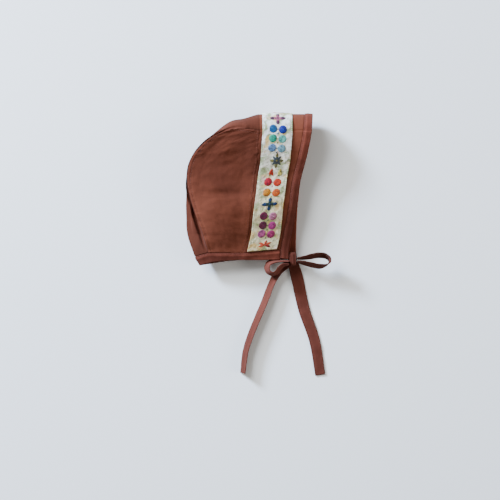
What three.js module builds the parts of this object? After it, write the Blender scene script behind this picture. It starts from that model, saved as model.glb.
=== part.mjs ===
// A baby bonnet of brown cloth with a ribbon round its brim, lying on its side with its ties in a bow.
// Millimetres, Z up. The face opening looks along +X and the crown points along +Y.
import * as THREE from 'three';
import { mergeVertices } from 'three/addons/utils/BufferGeometryUtils.js';

// Driving dimensions of the bonnet as it lies
const bonnetDepth = 135;
const bonnetHeight = 156;
const lyingHeight = 36;

// Cloth and trim
const clothWall = 1.4;
const frontCasingWall = 2.2;
const frontCasingWidth = 9.2;
const frontCasingRise = 0.3;
const neckCasingWall = 2.2;
const neckCasingHeight = 9.8;
const ribbonWall = 1;
const ribbonWidth = 31.75;
const ribbonInset = 3.2;
const seamGap = 0.3;

// Ties and bow
const tapeWidth = 9.5;
const tapeThickness = 1.5;
const knotWidth = 7.4;
const knotLength = 13;
const knotHeight = 10;
const knotLift = 3.6;
const leftLoopReach = 25;
const rightLoopReach = 36;
const loopLift = 12.8;
const knotSink = 0.03;
const knotSquareness = 0.6;
const leftTailDrop = 114;
const rightTailDrop = 116;

// Fineness of the meshes
const sideSteps = { across: 14, height: 16 };
const crownSteps = { way: 14, share: 40 };
const bandSteps = 40;
const ribbonSteps = 3;
const casingSteps = { width: 2, length: 42 };
const neckSteps = { band: 4, side: 7, fold: 10, height: 2 };
const leadSteps = 4;
const knotSides = 20;
const loopSteps = 30;
const tailSteps = 22;

// Rows of the seam between crown panel and side panels, from the brim to the nape.
// near: seam of the upper side, edge: outline seen from above, far: seam of the lower side.
// Each point holds shares: x of bonnetDepth from the back, y of bonnetHeight from the neck edge and
// z of lyingHeight from the surface.
// tuck is how far the panel folds in under the upper seam, in shares of lyingHeight.
// round is 1 where the panel rolls over the edge and 0 where it is creased flat.
const crownRows = [
  { near: [0.579, 0.878, 0.82], edge: [0.577, 0.984, 0.4], far: [0.579, 0.88, 0], tuck: 0, round: 1 },
  { near: [0.472, 0.89, 0.84], edge: [0.468, 0.967, 0.42], far: [0.475, 0.885, 0], tuck: 0, round: 1 },
  { near: [0.362, 0.884, 0.85], edge: [0.354, 0.947, 0.42], far: [0.37, 0.87, 0], tuck: 0, round: 1 },
  { near: [0.226, 0.842, 0.85], edge: [0.21, 0.856, 0.4], far: [0.256, 0.803, 0], tuck: 0.04, round: 1 },
  { near: [0.11, 0.763, 0.83], edge: [0.099, 0.77, 0.38], far: [0.165, 0.728, 0], tuck: 0.07, round: 1 },
  { near: [0.038, 0.673, 0.81], edge: [0.031, 0.677, 0.36], far: [0.106, 0.646, 0], tuck: 0.1, round: 1 },
  { near: [0.012, 0.544, 0.79], edge: [0.004, 0.544, 0.33], far: [0.079, 0.544, 0], tuck: 0.13, round: 1 },
  { near: [0.034, 0.422, 0.76], edge: [0, 0.422, 0.29], far: [0.071, 0.422, 0], tuck: 0.13, round: 1 },
  { near: [0.077, 0.303, 0.71], edge: [0, 0.3, 0.28], far: [0.079, 0.3, 0], tuck: 0.09, round: 0.9 },
  { near: [0.131, 0.177, 0.61], edge: [0.01, 0.172, 0.31], far: [0.102, 0.163, 0], tuck: 0.04, round: 0.6 },
  { near: [0.173, 0.051, 0.47], edge: [0.068, 0.024, 0.33], far: [0.165, 0.041, 0], tuck: 0, round: 0.2 },
];

// The row of crownRows at which the side panels stop following the top seam and turn down the back
const crownTurnRow = 2;

// Rows of the seam between side panels and front band, from the neck casing to the top.
// rise is how far the middle of the upper side panel stands over the straight line between its seams.
const seamRows = [
  { near: [0.457, 0.048, 0.47], rise: 0.02, far: [0.465, 0.05, 0] },
  { near: [0.492, 0.19, 0.62], rise: 0.08, far: [0.49, 0.19, 0] },
  { near: [0.508, 0.32, 0.74], rise: 0.11, far: [0.508, 0.32, 0] },
  { near: [0.528, 0.442, 0.83], rise: 0.12, far: [0.528, 0.442, 0] },
  { near: [0.543, 0.565, 0.88], rise: 0.12, far: [0.543, 0.565, 0] },
  { near: [0.563, 0.667, 0.9], rise: 0.11, far: [0.563, 0.667, 0] },
  { near: [0.569, 0.748, 0.88], rise: 0.08, far: [0.569, 0.748, 0] },
  { near: [0.575, 0.816, 0.85], rise: 0.04, far: [0.575, 0.816, 0] },
  { near: [0.579, 0.878, 0.82], rise: 0.01, far: [0.579, 0.88, 0] },
];

// Rows of the front edge, from its lower corner to the top. The first row is the end of the casing.
const frontRows = [
  { near: [0.81, 0.003, 0.33], far: [0.866, 0.051, 0] },
  { near: [0.811, 0.075, 0.35], far: [0.866, 0.08, 0] },
  { near: [0.838, 0.204, 0.39], far: [0.87, 0.2, 0] },
  { near: [0.868, 0.34, 0.46], far: [0.877, 0.33, 0] },
  { near: [0.888, 0.463, 0.53], far: [0.89, 0.45, 0] },
  { near: [0.908, 0.565, 0.6], far: [0.906, 0.562, 0] },
  { near: [0.94, 0.667, 0.66], far: [0.938, 0.665, 0] },
  { near: [0.962, 0.748, 0.71], far: [0.962, 0.748, 0] },
  { near: [0.978, 0.816, 0.74], far: [0.978, 0.816, 0] },
  { near: [0.989, 0.878, 0.76], far: [0.989, 0.878, 0] },
];
const frontTopEdge = [0.998, 0.986, 0.39];

// Soft dents and swells of the upper side panel. A negative depth is a swell.
const dents = [
  { x: 0.33, y: 0.455, reachX: 0.16, reachY: 0.022, depth: 0.03 },
  { x: 0.39, y: 0.68, reachX: 0.09, reachY: 0.06, depth: 0.035 },
  { x: 0.33, y: 0.57, reachX: 0.1, reachY: 0.05, depth: -0.02 },
  { x: 0.2, y: 0.37, reachX: 0.08, reachY: 0.07, depth: -0.025 },
  { x: 0.44, y: 0.3, reachX: 0.07, reachY: 0.07, depth: 0.03 },
];

// Shares of the way round the front that the upper side and the roll over the top take
const frontSideShare = 0.4;

// Shares of neckCasingHeight at the front corners, at the front seams and at the back of the side panels
const neckHeights = { front: 1.12, seam: 0.78, back: 1.14 };

// How far the neck casing leans back to front at the nape, and how far round the nape that reaches
const napeLean = 0.5;
const napeReach = 32;
const neckCasingFall = 0.14;

// The bow, as seen from above. x and y are shares of the loop's reach, lift of the tape's width,
// and lean is the tape's tilt in degrees: 0 lies flat and 90 stands on its edge.
const leftLoopRows = [
  { x: -0.004, y: -0.07, lift: 0, lean: 92 },
  { x: -0.3, y: -0.085, lift: 0, lean: 94 },
  { x: -0.62, y: -0.09, lift: 0, lean: 102 },
  { x: -0.86, y: -0.17, lift: 0, lean: 120 },
  { x: -0.94, y: -0.34, lift: 0, lean: 130 },
  { x: -0.87, y: -0.53, lift: 0, lean: 122 },
  { x: -0.66, y: -0.62, lift: 0, lean: 110 },
  { x: -0.44, y: -0.54, lift: 0, lean: 112 },
  { x: -0.3, y: -0.36, lift: 0, lean: 108 },
  { x: -0.17, y: -0.24, lift: 0, lean: 100 },
  { x: -0.004, y: -0.2, lift: 0, lean: 94 },
];
const rightLoopRows = [
  { x: 0.004, y: 0.045, lift: 0, lean: 92 },
  { x: 0.2, y: 0.06, lift: 0, lean: 98 },
  { x: 0.42, y: 0.1, lift: 0, lean: 104 },
  { x: 0.64, y: 0.14, lift: 0, lean: 108 },
  { x: 0.83, y: 0.12, lift: 0, lean: 108 },
  { x: 0.95, y: 0.04, lift: 0, lean: 106 },
  { x: 0.975, y: -0.06, lift: 0, lean: 104 },
  { x: 0.9, y: -0.14, lift: 0, lean: 106 },
  { x: 0.71, y: -0.185, lift: 0, lean: 108 },
  { x: 0.45, y: -0.15, lift: 0, lean: 106 },
  { x: 0.22, y: -0.09, lift: 0, lean: 100 },
  { x: 0.004, y: -0.055, lift: 0, lean: 92 },
];

// The tails, from the knot to the cut end. x and y are shares of the tail's drop.
// lift is the height over lying on the surface, in shares of knotHeight.
const leftTailRows = [
  { x: -0.002, y: 0, lift: 0.3, lean: -24 },
  { x: -0.05, y: -0.025, lift: 0.18, lean: -32 },
  { x: -0.1, y: -0.064, lift: 0.06, lean: -42 },
  { x: -0.145, y: -0.108, lift: 0, lean: -50 },
  { x: -0.18, y: -0.165, lift: 0, lean: -55 },
  { x: -0.26, y: -0.36, lift: 0, lean: -57 },
  { x: -0.367, y: -0.617, lift: 0, lean: -57 },
  { x: -0.424, y: -0.79, lift: 0, lean: -56 },
  { x: -0.452, y: -1, lift: 0, lean: -55 },
];
const rightTailRows = [
  { x: -0.006, y: 0.03, lift: 0.17, lean: 0 },
  { x: 0.016, y: -0.05, lift: 0.07, lean: 0 },
  { x: 0.036, y: -0.13, lift: 0, lean: 0 },
  { x: 0.092, y: -0.39, lift: 0, lean: 0 },
  { x: 0.192, y: -0.69, lift: 0, lean: 0 },
  { x: 0.243, y: -1, lift: 0, lean: 0 },
];

const up = new THREE.Vector3(0, 0, 1);
const down = new THREE.Vector3(0, 0, -1);
const lowerLift = ribbonWall + seamGap;

const mix = THREE.MathUtils.lerp;
const smooth = THREE.MathUtils.smoothstep;

function place(x, y, z) {
  return new THREE.Vector3(x * bonnetDepth, y * bonnetHeight, z * lyingHeight);
}

function curveOf(rows, toPoint) {
  return new THREE.CatmullRomCurve3(rows.map(toPoint));
}

function valueOf(rows, name, share) {
  const at = share * (rows.length - 1);
  const row = Math.min(Math.floor(at), rows.length - 2);
  return mix(rows[row][name], rows[row + 1][name], at - row);
}

const crownNear = curveOf(crownRows, (r) => place(...r.near));
const crownEdge = curveOf(crownRows, (r) => place(...r.edge));
const crownFar = curveOf(crownRows, (r) => place(...r.far));
const seamNear = curveOf(seamRows, (r) => place(...r.near));
const seamFar = curveOf(seamRows, (r) => place(...r.far));
const frontNear = curveOf(frontRows, (r) => place(...r.near));
const frontFar = curveOf(frontRows, (r) => place(...r.far));
const turnShare = crownTurnRow / (crownRows.length - 1);
const casingEndShare = 1 / (frontRows.length - 1);

// A point of a sheet of cloth that rolls from the upper side over the edge to the lower side.
// way runs from 0 at the upper seam over 0.5 at the edge to 1 at the lower seam.
function roll(near, edge, far, way, out, tuck, round) {
  const start = way <= 0.5 ? near : far;
  const share = way <= 0.5 ? way * 2 : (1 - way) * 2;
  const angle = (share * Math.PI) / 2;
  const across = mix(share, Math.sin(angle), round);
  const along = mix(1 - share, Math.cos(angle), round);
  const point = new THREE.Vector3(
    mix(start.x, edge.x, across),
    mix(start.y, edge.y, across),
    mix(edge.z, start.z, along),
  );
  if (way > 0.5) {
    return point;
  }
  const fold = THREE.MathUtils.clamp((share - 1 / 3) * 1.5, 0, 1);
  return point.addScaledVector(out, -tuck * Math.sin(fold * Math.PI) ** 2);
}

function rollNormal(out, way) {
  const angle = way * Math.PI;
  return out.clone().multiplyScalar(Math.sin(angle)).addScaledVector(up, Math.cos(angle));
}

function crownOut(share) {
  const along = crownEdge.getTangent(share);
  const square = new THREE.Vector3(along.y, -along.x, 0).normalize();
  const brim = new THREE.Vector3(0, 1, 0);
  return brim.lerp(square, smooth(share, 0, 0.12)).normalize();
}

// Crown panel: share runs from the brim to the nape, way from the upper to the lower seam
function crownPoint(share, way) {
  const out = crownOut(share);
  const tuck = valueOf(crownRows, 'tuck', share) * lyingHeight;
  const round = valueOf(crownRows, 'round', share);
  const near = crownNear.getPoint(share);
  const edge = crownEdge.getPoint(share);
  const far = crownFar.getPoint(share);
  return { point: roll(near, edge, far, way, out, tuck, round), normal: rollNormal(out, way) };
}

// A point of a crown seam, moved into the side panel by the gap between the two pieces
function insideSeam(crown, share) {
  const along = crown.getTangent(share);
  const inward = new THREE.Vector3(-along.y, along.x, 0).normalize();
  return crown.getPoint(share).addScaledVector(inward, seamGap);
}

// Side panel: across runs from the crown seam to the front seam, height from the neck to the top
function sidePoint(crown, seam, across, height) {
  const back = insideSeam(crown, mix(1, turnShare, height));
  const point = back.lerp(seam.getPoint(height), across);
  const topRow = insideSeam(crown, turnShare).lerp(seam.getPoint(1), across);
  const topSeam = insideSeam(crown, turnShare * (1 - across));
  return point.addScaledVector(topSeam.sub(topRow), height ** 6);
}

function dentAt(point) {
  return dents.reduce((sum, dent) => {
    const x = (point.x / bonnetDepth - dent.x) / dent.reachX;
    const y = (point.y / bonnetHeight - dent.y) / dent.reachY;
    return sum + dent.depth * lyingHeight * Math.exp(-x * x - y * y);
  }, 0);
}

function upperSidePoint(across, height) {
  const point = sidePoint(crownNear, seamNear, across, height);
  const bow = 4 * across * (1 - across);
  point.z += bow * valueOf(seamRows, 'rise', height) * lyingHeight - bow * dentAt(point);
  return { point, normal: up };
}

function lowerSidePoint(across, height) {
  return { point: sidePoint(crownFar, seamFar, across, height), normal: down };
}

// Where on the band's rear seam a point of the front edge looks back to
function seamShare(frontShare) {
  return Math.max(0, (frontShare - casingEndShare) / (1 - casingEndShare));
}

// Rear and front line of the front band, way round from the upper corner over the top to the lower one.
// start is 0 for the casing, which runs to the very corner, and casingEndShare for the band.
function bandLines(way, start) {
  const out = new THREE.Vector3(0, 1, 0);
  if (way < frontSideShare) {
    const height = way / frontSideShare;
    const front = frontNear.getPoint(mix(start, 1, height));
    const rear = seamNear.getPoint(seamShare(mix(start, 1, height)));
    return { rear, front, normal: up, lower: 0 };
  }
  if (way > 1 - frontSideShare) {
    const height = (1 - way) / frontSideShare;
    const front = frontFar.getPoint(mix(start, 1, height));
    const rear = seamFar.getPoint(seamShare(mix(start, 1, height)));
    return { rear, front, normal: down, lower: 1 };
  }
  const turn = (way - frontSideShare) / (1 - 2 * frontSideShare);
  const rear = roll(seamNear.getPoint(1), crownEdge.getPoint(0), seamFar.getPoint(1), turn, out, 0, 1);
  const frontEdge = place(...frontTopEdge);
  const front = roll(frontNear.getPoint(1), frontEdge, frontFar.getPoint(1), turn, out, 0, 1);
  return { rear, front, normal: rollNormal(out, turn), lower: Math.max(0, -Math.cos(turn * Math.PI)) };
}

// A point of the band at a distance from its rear seam. The lower side lies on the ribbon.
function bandPoint(lines, distance) {
  const width = lines.front.distanceTo(lines.rear);
  const point = lines.rear.clone().lerp(lines.front, distance / width);
  point.z += lines.lower * lowerLift * smooth(distance, 0, ribbonInset);
  return { point, normal: lines.normal };
}

function bandWidth(lines) {
  return lines.front.distanceTo(lines.rear);
}

// A closed wall over a grid of surface points. inner and outer are measured along the normals.
function wallGeometry(columnSteps, rowSteps, sample, outer, inner) {
  const columns = Math.round(columnSteps);
  const rows = Math.round(rowSteps);
  const positions = [];
  const index = [];
  const count = (columns + 1) * (rows + 1);
  const outerPoints = [];
  const innerPoints = [];
  for (let j = 0; j <= rows; j += 1) {
    for (let i = 0; i <= columns; i += 1) {
      const { point, normal } = sample(i / columns, j / rows);
      outerPoints.push(point.clone().addScaledVector(normal, outer));
      innerPoints.push(point.clone().addScaledVector(normal, inner));
    }
  }
  for (const point of [...outerPoints, ...innerPoints]) {
    positions.push(point.x, point.y, point.z);
  }
  const at = (i, j) => j * (columns + 1) + i;
  const quad = (a, b, c, d) => index.push(a, b, c, a, c, d);
  for (let j = 0; j < rows; j += 1) {
    for (let i = 0; i < columns; i += 1) {
      quad(at(i, j), at(i + 1, j), at(i + 1, j + 1), at(i, j + 1));
      quad(count + at(i, j), count + at(i, j + 1), count + at(i + 1, j + 1), count + at(i + 1, j));
    }
  }
  for (let i = 0; i < columns; i += 1) {
    quad(at(i, 0), count + at(i, 0), count + at(i + 1, 0), at(i + 1, 0));
    quad(at(i, rows), at(i + 1, rows), count + at(i + 1, rows), count + at(i, rows));
  }
  for (let j = 0; j < rows; j += 1) {
    quad(at(0, j), at(0, j + 1), count + at(0, j + 1), count + at(0, j));
    quad(at(columns, j), count + at(columns, j), count + at(columns, j + 1), at(columns, j + 1));
  }
  if (signedVolume(positions, index) < 0) {
    index.reverse();
  }
  const geometry = new THREE.BufferGeometry();
  geometry.setAttribute('position', new THREE.Float32BufferAttribute(positions, 3));
  geometry.setIndex(index);
  geometry.computeVertexNormals();
  return geometry;
}

function signedVolume(positions, index) {
  const corner = (k) => new THREE.Vector3().fromArray(positions, index[k] * 3);
  let volume = 0;
  for (let k = 0; k < index.length; k += 3) {
    volume += corner(k).dot(corner(k + 1).cross(corner(k + 2))) / 6;
  }
  return volume;
}

// Flat tape along a path of rows, with its tilt from the rows' lean
function tapeGeometry(rows, toPoint, steps) {
  const path = curveOf(rows, toPoint);
  const sample = (side, along) => {
    const tangent = path.getTangent(along);
    tangent.z = 0;
    tangent.normalize();
    const level = new THREE.Vector3(tangent.y, -tangent.x, 0).normalize();
    const lean = THREE.MathUtils.degToRad(valueOf(rows, 'lean', along));
    const across = level.multiplyScalar(Math.cos(lean)).addScaledVector(up, Math.sin(lean));
    const normal = new THREE.Vector3().crossVectors(across, tangent).normalize();
    const point = path.getPoint(along);
    point.z = Math.max(point.z, restingHeight(valueOf(rows, 'lean', along)));
    return { point: point.addScaledVector(across, (side - 0.5) * tapeWidth), normal };
  };
  return wallGeometry(1, steps, sample, tapeThickness / 2, -tapeThickness / 2);
}

// Height of a tape's centreline when the tape lies on the surface with a tilt
function restingHeight(leanDegrees) {
  const lean = THREE.MathUtils.degToRad(leanDegrees);
  return (tapeWidth / 2) * Math.abs(Math.sin(lean)) + (tapeThickness / 2) * Math.abs(Math.cos(lean));
}

const bonnet = new THREE.Group();

function addMesh(name, geometry, color, roughness) {
  const material = new THREE.MeshStandardMaterial({ color, roughness, metalness: 0 });
  const mesh = new THREE.Mesh(geometry, material);
  mesh.name = name;
  bonnet.add(mesh);
}

const brown = 0x7a4030;
const lightBrown = 0x9a5a45;
const cream = 0xd9d6c4;
const clothRoughness = 0.9;

// Side panels
function addSidePanel(name, surface) {
  const sample = (i, j) => {
    const rowWidth = surface(0, j).point.distanceTo(surface(1, j).point);
    const rise = surface(1, 0).point.distanceTo(surface(1, 1).point);
    return surface(i * (1 - seamGap / rowWidth), mix(seamGap / rise, 1, j));
  };
  const geometry = wallGeometry(sideSteps.across, sideSteps.height, sample, 0, -clothWall);
  addMesh(name, geometry, brown, clothRoughness);
}

addSidePanel('side_panel_upper', upperSidePoint);
addSidePanel('side_panel_lower', lowerSidePoint);

// Crown panel
const crownLength = crownEdge.getLength();
addMesh(
  'crown_panel',
  wallGeometry(
    crownSteps.way,
    crownSteps.share,
    (i, j) => crownPoint(mix(seamGap / crownLength, 1 - seamGap / crownLength, j), i),
    0,
    -clothWall,
  ),
  lightBrown,
  clothRoughness,
);

// Front band, the casing along its front edge and the ribbon on it
const frontLength = 2 * frontNear.getLength() + crownEdge.getPoint(0).distanceTo(seamNear.getPoint(1)) * 2;
const frontMargin = seamGap / frontLength;
const bandColumnCount = 6;

function bandColumns(lines) {
  const end = bandWidth(lines) - frontCasingWidth - seamGap;
  const ribbonEnd = ribbonInset + ribbonWidth;
  return [seamGap, ribbonInset / 2, ribbonInset, ribbonInset + ribbonWidth / 2, ribbonEnd, end];
}

addMesh(
  'front_band',
  wallGeometry(
    bandColumnCount - 1,
    bandSteps,
    (i, j) => {
      const lines = bandLines(mix(frontMargin, 1 - frontMargin, j), casingEndShare);
      return bandPoint(lines, bandColumns(lines)[Math.round(i * (bandColumnCount - 1))]);
    },
    0,
    -clothWall,
  ),
  brown,
  clothRoughness,
);
addMesh(
  'front_casing',
  wallGeometry(
    casingSteps.width,
    casingSteps.length,
    (i, j) => {
      const lines = bandLines(j, 0);
      return bandPoint(lines, mix(bandWidth(lines) - frontCasingWidth, bandWidth(lines), i));
    },
    frontCasingRise,
    frontCasingRise - frontCasingWall,
  ),
  brown,
  clothRoughness,
);
addMesh(
  'trim_ribbon',
  wallGeometry(
    ribbonSteps,
    bandSteps,
    (i, j) => {
      const lines = bandLines(mix(frontMargin * 2, 1 - frontMargin * 2, j), casingEndShare);
      return bandPoint(lines, ribbonInset + i * ribbonWidth);
    },
    seamGap + ribbonWall,
    seamGap,
  ),
  cream,
  clothRoughness,
);

function stepsDown(steps) {
  const count = Math.round(steps);
  return Array.from({ length: count }, (_, k) => 1 - k / count);
}

// Neck casing: its upper edge follows the lower edges of the panels from one front corner to the other
function neckStations() {
  const upperLines = bandLines(0, casingEndShare);
  const lowerLines = bandLines(1, casingEndShare);
  const bandEnd = (lines) => bandWidth(lines) - frontCasingWidth - seamGap;
  const stations = [];
  const add = (station, height) => stations.push({ ...station, height: height * neckCasingHeight });
  const { front, seam, back } = neckHeights;
  for (const share of stepsDown(neckSteps.band)) {
    add(bandPoint(upperLines, bandEnd(upperLines) * share), mix(seam, front, share));
  }
  for (const share of stepsDown(neckSteps.side)) {
    add(upperSidePoint(share, 0), mix(seam, back, (1 - share) ** 2));
  }
  for (const share of stepsDown(neckSteps.fold)) {
    add(crownPoint(1, 1 - share), back);
  }
  for (const share of stepsDown(neckSteps.side)) {
    add(lowerSidePoint(1 - share, 0), mix(seam, back, share ** 2));
  }
  for (const share of [...stepsDown(neckSteps.band), 0]) {
    add(bandPoint(lowerLines, bandEnd(lowerLines) * (1 - share)), mix(seam, front, 1 - share));
  }
  return stations;
}

const neckEdge = neckStations();
const nape = crownEdge.getPoint(1);
addMesh(
  'neck_casing',
  wallGeometry(
    neckEdge.length - 1,
    neckSteps.height,
    (i, j) => {
      const station = neckEdge[Math.round(i * (neckEdge.length - 1))];
      const fromNape = station.point.x - nape.x;
      const lean = napeLean * Math.exp(-((fromNape / napeReach) ** 2));
      const height = mix(seamGap, station.height, j);
      const fall = neckCasingFall * Math.min(1, station.point.z / (lyingHeight * 0.33));
      const drop = new THREE.Vector3(lean, -1, -fall).normalize();
      return { point: station.point.clone().addScaledVector(drop, height), normal: station.normal };
    },
    0,
    -neckCasingWall,
  ),
  brown,
  clothRoughness,
);

// Bow: the knot sits right at the front corners, and its loops and tails start on its sides
const upperCorner = frontNear.getPoint(0);
const lowerCorner = frontFar.getPoint(0);
const knotCentre = new THREE.Vector3(
  upperCorner.x + frontCasingRise + seamGap + knotWidth / 2,
  upperCorner.y - knotSink * knotLength,
  knotLift + knotHeight / 2,
);

function knotGeometry() {
  const geometry = new THREE.SphereGeometry(1, knotSides, knotSides / 2).rotateX(Math.PI / 2);
  geometry.deleteAttribute('normal');
  geometry.deleteAttribute('uv');
  const position = geometry.attributes.position;
  const bulge = (value) => Math.sign(value) * Math.abs(value) ** knotSquareness;
  for (let k = 0; k < position.count; k += 1) {
    const x = (bulge(position.getX(k)) * knotWidth) / 2;
    const y = (bulge(position.getY(k)) * knotLength) / 2;
    const z = (bulge(position.getZ(k)) * knotHeight) / 2;
    position.setXYZ(k, knotCentre.x + x, knotCentre.y + y, knotCentre.z + z);
  }
  return mergeVertices(geometry, 1e-4);
}

addMesh('bow_knot', knotGeometry(), brown, clothRoughness);

function addLoop(name, rows, reach, side) {
  const toPoint = (row) =>
    new THREE.Vector3(
      knotCentre.x + side * (knotWidth / 2 + seamGap) + row.x * reach,
      knotCentre.y + row.y * reach,
      loopLift + row.lift * tapeWidth,
    );
  addMesh(name, tapeGeometry(rows, toPoint, loopSteps), lightBrown, clothRoughness);
}

addLoop('bow_loop_left', leftLoopRows, leftLoopReach, -1);
addLoop('bow_loop_right', rightLoopRows, rightLoopReach, 1);

function addTail(name, rows, drop, startX) {
  const toPoint = (row) =>
    new THREE.Vector3(
      knotCentre.x + startX * knotWidth + row.x * drop,
      knotCentre.y - knotLength / 2 - seamGap + row.y * drop,
      restingHeight(row.lean) + row.lift * knotHeight,
    );
  addMesh(name, tapeGeometry(rows, toPoint, tailSteps), lightBrown, clothRoughness);
}

addTail('bow_tail_left', leftTailRows, leftTailDrop, -0.25);
addTail('bow_tail_right', rightTailRows, rightTailDrop, 0.15);

// The lower side's tie, from the end of its casing to the underside of the knot
const leadRows = [
  { along: 0, lift: 0.05 },
  { along: 0.5, lift: 0.1 },
  { along: 1, lift: 0.16 },
];
const leadStart = new THREE.Vector3(lowerCorner.x - frontCasingWidth / 2, lowerCorner.y - seamGap, 0);
const leadEnd = new THREE.Vector3(knotCentre.x, knotCentre.y, 0);
const leadPath = curveOf(leadRows, (row) => {
  const point = leadStart.clone().lerp(leadEnd, row.along);
  point.z = tapeThickness / 2 + row.lift * knotHeight;
  return point;
});
addMesh(
  'tie_lower',
  wallGeometry(
    1,
    leadSteps,
    (i, j) => {
      const point = leadPath.getPoint(j);
      point.x += (i - 0.5) * (tapeWidth - 2 * seamGap);
      return { point, normal: up };
    },
    tapeThickness / 2,
    -tapeThickness / 2,
  ),
  lightBrown,
  clothRoughness,
);

// The origin goes under the middle of the whole, on the surface it lies on
const box = new THREE.Box3().setFromObject(bonnet);
bonnet.position.set(-(box.min.x + box.max.x) / 2, -(box.min.y + box.max.y) / 2, -box.min.z);

export default bonnet;
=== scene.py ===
"""A baby bonnet of rust brown cotton with an embroidered ribbon round its brim, lying on its side.

Lengths are in millimetres until a piece is finished, and metres after that.
"""
import math

import bmesh
import bpy
import numpy as np
from mathutils import Matrix, Vector, noise


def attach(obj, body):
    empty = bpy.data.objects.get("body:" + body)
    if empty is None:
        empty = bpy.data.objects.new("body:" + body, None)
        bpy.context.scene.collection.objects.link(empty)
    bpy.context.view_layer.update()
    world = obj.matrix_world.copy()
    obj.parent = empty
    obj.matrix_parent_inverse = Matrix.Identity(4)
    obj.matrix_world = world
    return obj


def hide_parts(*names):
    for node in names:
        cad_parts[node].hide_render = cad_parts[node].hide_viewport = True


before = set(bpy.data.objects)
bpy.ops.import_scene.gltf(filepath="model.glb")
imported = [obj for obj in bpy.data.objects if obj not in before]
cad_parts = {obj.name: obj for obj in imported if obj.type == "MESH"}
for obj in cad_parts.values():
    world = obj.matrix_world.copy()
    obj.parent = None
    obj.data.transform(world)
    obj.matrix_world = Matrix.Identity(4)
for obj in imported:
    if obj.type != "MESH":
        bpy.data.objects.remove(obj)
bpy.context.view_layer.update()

MM = 0.001
MM_PER_PIXEL = 135 / 127

# The pixel of the photograph where the bonnet's pattern has its origin
PHOTO_ORIGIN = (186, 260)

# The bonnet's own dimensions, as its pattern gives them
BONNET_DEPTH = 135
BONNET_HEIGHT = 156
LYING_HEIGHT = 36
MIDDLE_UNDER_BONNET = np.array([77.3003, 15.7515, 0.0])

CLOTH_WALL = 1.4
SEAM_GAP = 0.3
SEAM_OPENING = 0.05
ALLOWANCE_GAP = 0.15
FRONT_CASING_WIDTH = 9.2
FRONT_CASING_WALL = 2.2
FRONT_CASING_RISE = 0.3
NECK_CASING_HEIGHT = 9.8
NECK_CASING_WALL = 2.2
RIBBON_WIDTH = 31.75
RIBBON_WALL = 1.0
RIBBON_INSET = 3.2
TAPE_WIDTH = 9.5
# The tails are partly unfolded: their widths from the knot to the end
LEFT_TAIL_WIDTHS = (8.6, 8.9, 9.8, 10.3, 10.2, 9.6)
RIGHT_TAIL_WIDTHS = (10.6, 12.4, 13.2, 12.8, 12, 11.4, 10.8)
TAPE_THICKNESS = 1.5
RIB_PITCH = 0.55
TAPE_SKIN = 0.5
TAPE_ROW = 0.75
KNOT_WIDTH, KNOT_LENGTH, KNOT_HEIGHT = 7.4, 13, 10
KNOT_LIFT = 3.6

# Seam between crown panel and side panels, from the brim to the nape: upper seam, outline, lower seam
CROWN_NEAR = [
    (0.579, 0.878, 0.82), (0.472, 0.89, 0.84), (0.362, 0.884, 0.85), (0.226, 0.842, 0.85),
    (0.11, 0.763, 0.83), (0.038, 0.673, 0.81), (0.012, 0.544, 0.79), (0.034, 0.422, 0.76),
    (0.077, 0.303, 0.71), (0.131, 0.177, 0.61), (0.173, 0.051, 0.47),
]
CROWN_EDGE = [
    (0.577, 0.984, 0.4), (0.468, 0.967, 0.42), (0.354, 0.947, 0.42), (0.21, 0.856, 0.4),
    (0.099, 0.77, 0.38), (0.031, 0.677, 0.36), (0.004, 0.544, 0.33), (0, 0.422, 0.29),
    (0, 0.3, 0.28), (0.01, 0.172, 0.31), (0.068, 0.024, 0.33),
]
CROWN_FAR = [
    (0.579, 0.88, 0), (0.475, 0.885, 0), (0.37, 0.87, 0), (0.256, 0.803, 0),
    (0.165, 0.728, 0), (0.106, 0.646, 0), (0.079, 0.544, 0), (0.071, 0.422, 0),
    (0.079, 0.3, 0), (0.102, 0.163, 0), (0.165, 0.041, 0),
]
CROWN_TUCK = [0, 0, 0, 0.04, 0.07, 0.1, 0.13, 0.13, 0.09, 0.04, 0]
CROWN_ROUND = [1, 1, 1, 1, 1, 1, 1, 1, 0.9, 0.6, 0.2]
# How far the crown panel has sunk behind its upper seam, and the crevice below that seam
CROWN_SAG = [0, 0, 0.15, 0.45, 0.6, 0.68, 0.7, 0.74, 0.74, 0.6, 0]
CREVICE_DEPTH, CREVICE_UNDERCUT, EDGE_TUCK = 4.0, 1.6, 0.6
TURN_SHARE = 0.2

# Seam between side panels and front band, from the neck casing to the top
SEAM_NEAR = [
    (0.457, 0.048, 0.47), (0.492, 0.19, 0.62), (0.508, 0.32, 0.74), (0.528, 0.442, 0.83),
    (0.543, 0.565, 0.88), (0.563, 0.667, 0.9), (0.569, 0.748, 0.88), (0.575, 0.816, 0.85),
    (0.579, 0.878, 0.82),
]
SEAM_FAR = [
    (0.465, 0.05, 0), (0.49, 0.19, 0), (0.508, 0.32, 0), (0.528, 0.442, 0),
    (0.543, 0.565, 0), (0.563, 0.667, 0), (0.569, 0.748, 0), (0.575, 0.816, 0),
    (0.579, 0.88, 0),
]
SEAM_RISE = [0.02, 0.08, 0.11, 0.12, 0.12, 0.11, 0.08, 0.04, 0.01]

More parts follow.
